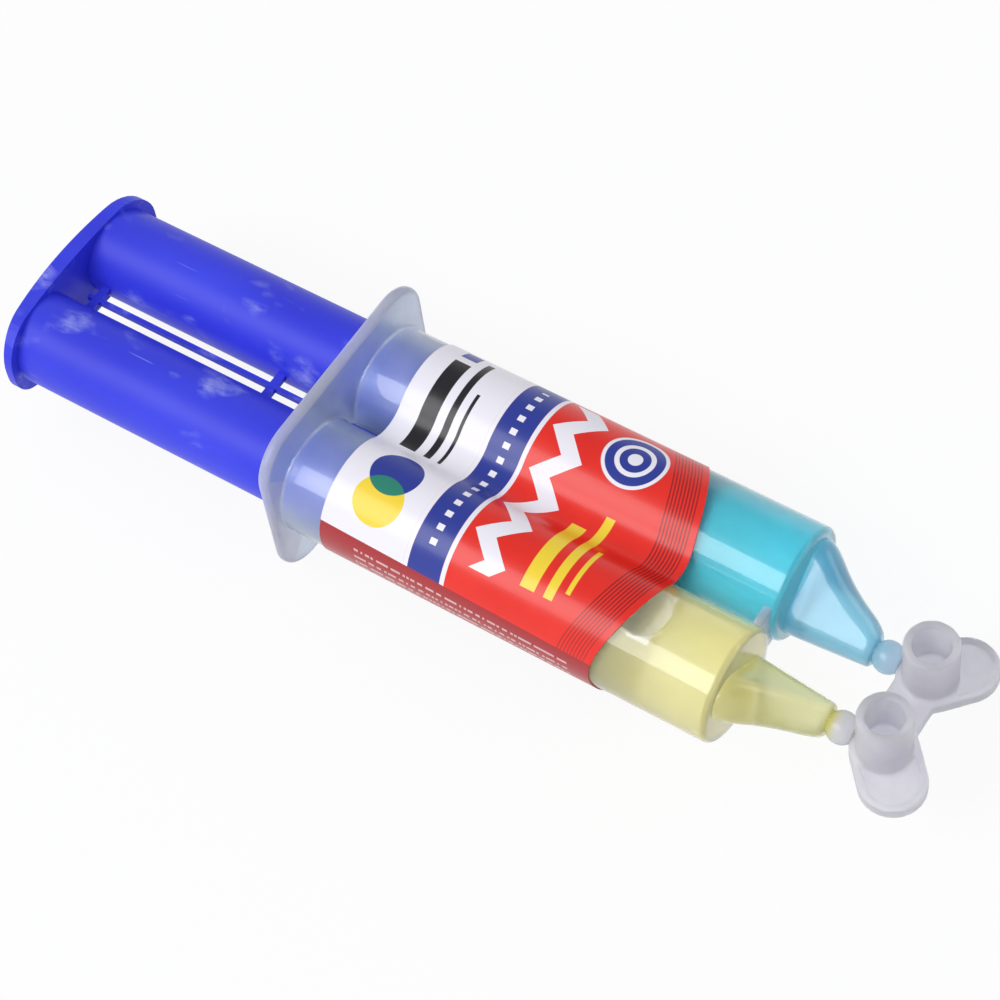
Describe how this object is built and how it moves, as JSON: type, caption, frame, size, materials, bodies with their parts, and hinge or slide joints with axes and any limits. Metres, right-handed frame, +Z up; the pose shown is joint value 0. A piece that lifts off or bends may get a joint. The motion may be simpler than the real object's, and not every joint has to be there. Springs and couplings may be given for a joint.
{
  "type": "epoxy syringe",
  "caption": "Twin-barrel adhesive syringe with a finger flange, a joined double plunger carrying a snap-out mixing stick, oblique nozzles and a winged break-off tab that recaps them.",
  "frame": {"origin": "Middle of the bounding box in X and Y, on the plane that the finger flange's lower edge stands on.", "axes": "+X runs along the barrels from the thumb plate to the snap-off tab, +Y from the resin barrel to the hardener barrel, +Z up out of the sockets of the tab."},
  "size_m": [0.1692, 0.0434, 0.033],
  "materials": {
    "clear_plastic": "clear moulded polypropylene, slightly milky, glossy",
    "label_film": "printed plastic film, red with blue, white and yellow fields",
    "resin": "thick pale yellow liquid",
    "hardener": "thick pale blue-green liquid",
    "blue_plastic": "glossy moulded plastic, lightly scuffed",
    "piston_plastic": "natural moulded polyethylene",
    "frosted_plastic": "frosted translucent moulded plastic"
  },
  "bodies": {
    "syringe": {"finger_flange": "clear_plastic", "resin_barrel": "clear_plastic", "hardener_barrel": "clear_plastic", "end_tie": "clear_plastic", "resin_nozzle": "clear_plastic", "hardener_nozzle": "clear_plastic", "label_sleeve": "label_film", "resin_fill": "resin", "hardener_fill": "hardener", "resin_nozzle_fill": "resin", "hardener_nozzle_fill": "hardener"},
    "plunger": {"resin_rod": "blue_plastic", "hardener_rod": "blue_plastic", "thumb_plate": "blue_plastic", "mixing_stick": "blue_plastic", "rear_ties": "blue_plastic", "front_ties": "blue_plastic", "resin_piston": "piston_plastic", "hardener_piston": "piston_plastic"},
    "break_tab": {"tab_bridge": "frosted_plastic", "resin_wing": "frosted_plastic", "hardener_wing": "frosted_plastic", "resin_socket": "frosted_plastic", "hardener_socket": "frosted_plastic", "resin_tip_ball": "frosted_plastic", "hardener_tip_ball": "frosted_plastic"}
  },
  "joints": [
    {"name": "plunger_slide", "type": "slide", "parent": "syringe", "child": "plunger", "axis": [1, 0, 0], "range_m": [0, 0.0457], "deforming": ["resin_fill", "hardener_fill", "front_ties"]},
    {"name": "tab_pull", "type": "slide", "parent": "syringe", "child": "break_tab", "axis": [1, 0, 0], "range_m": [0, 0.03]}
  ]
}
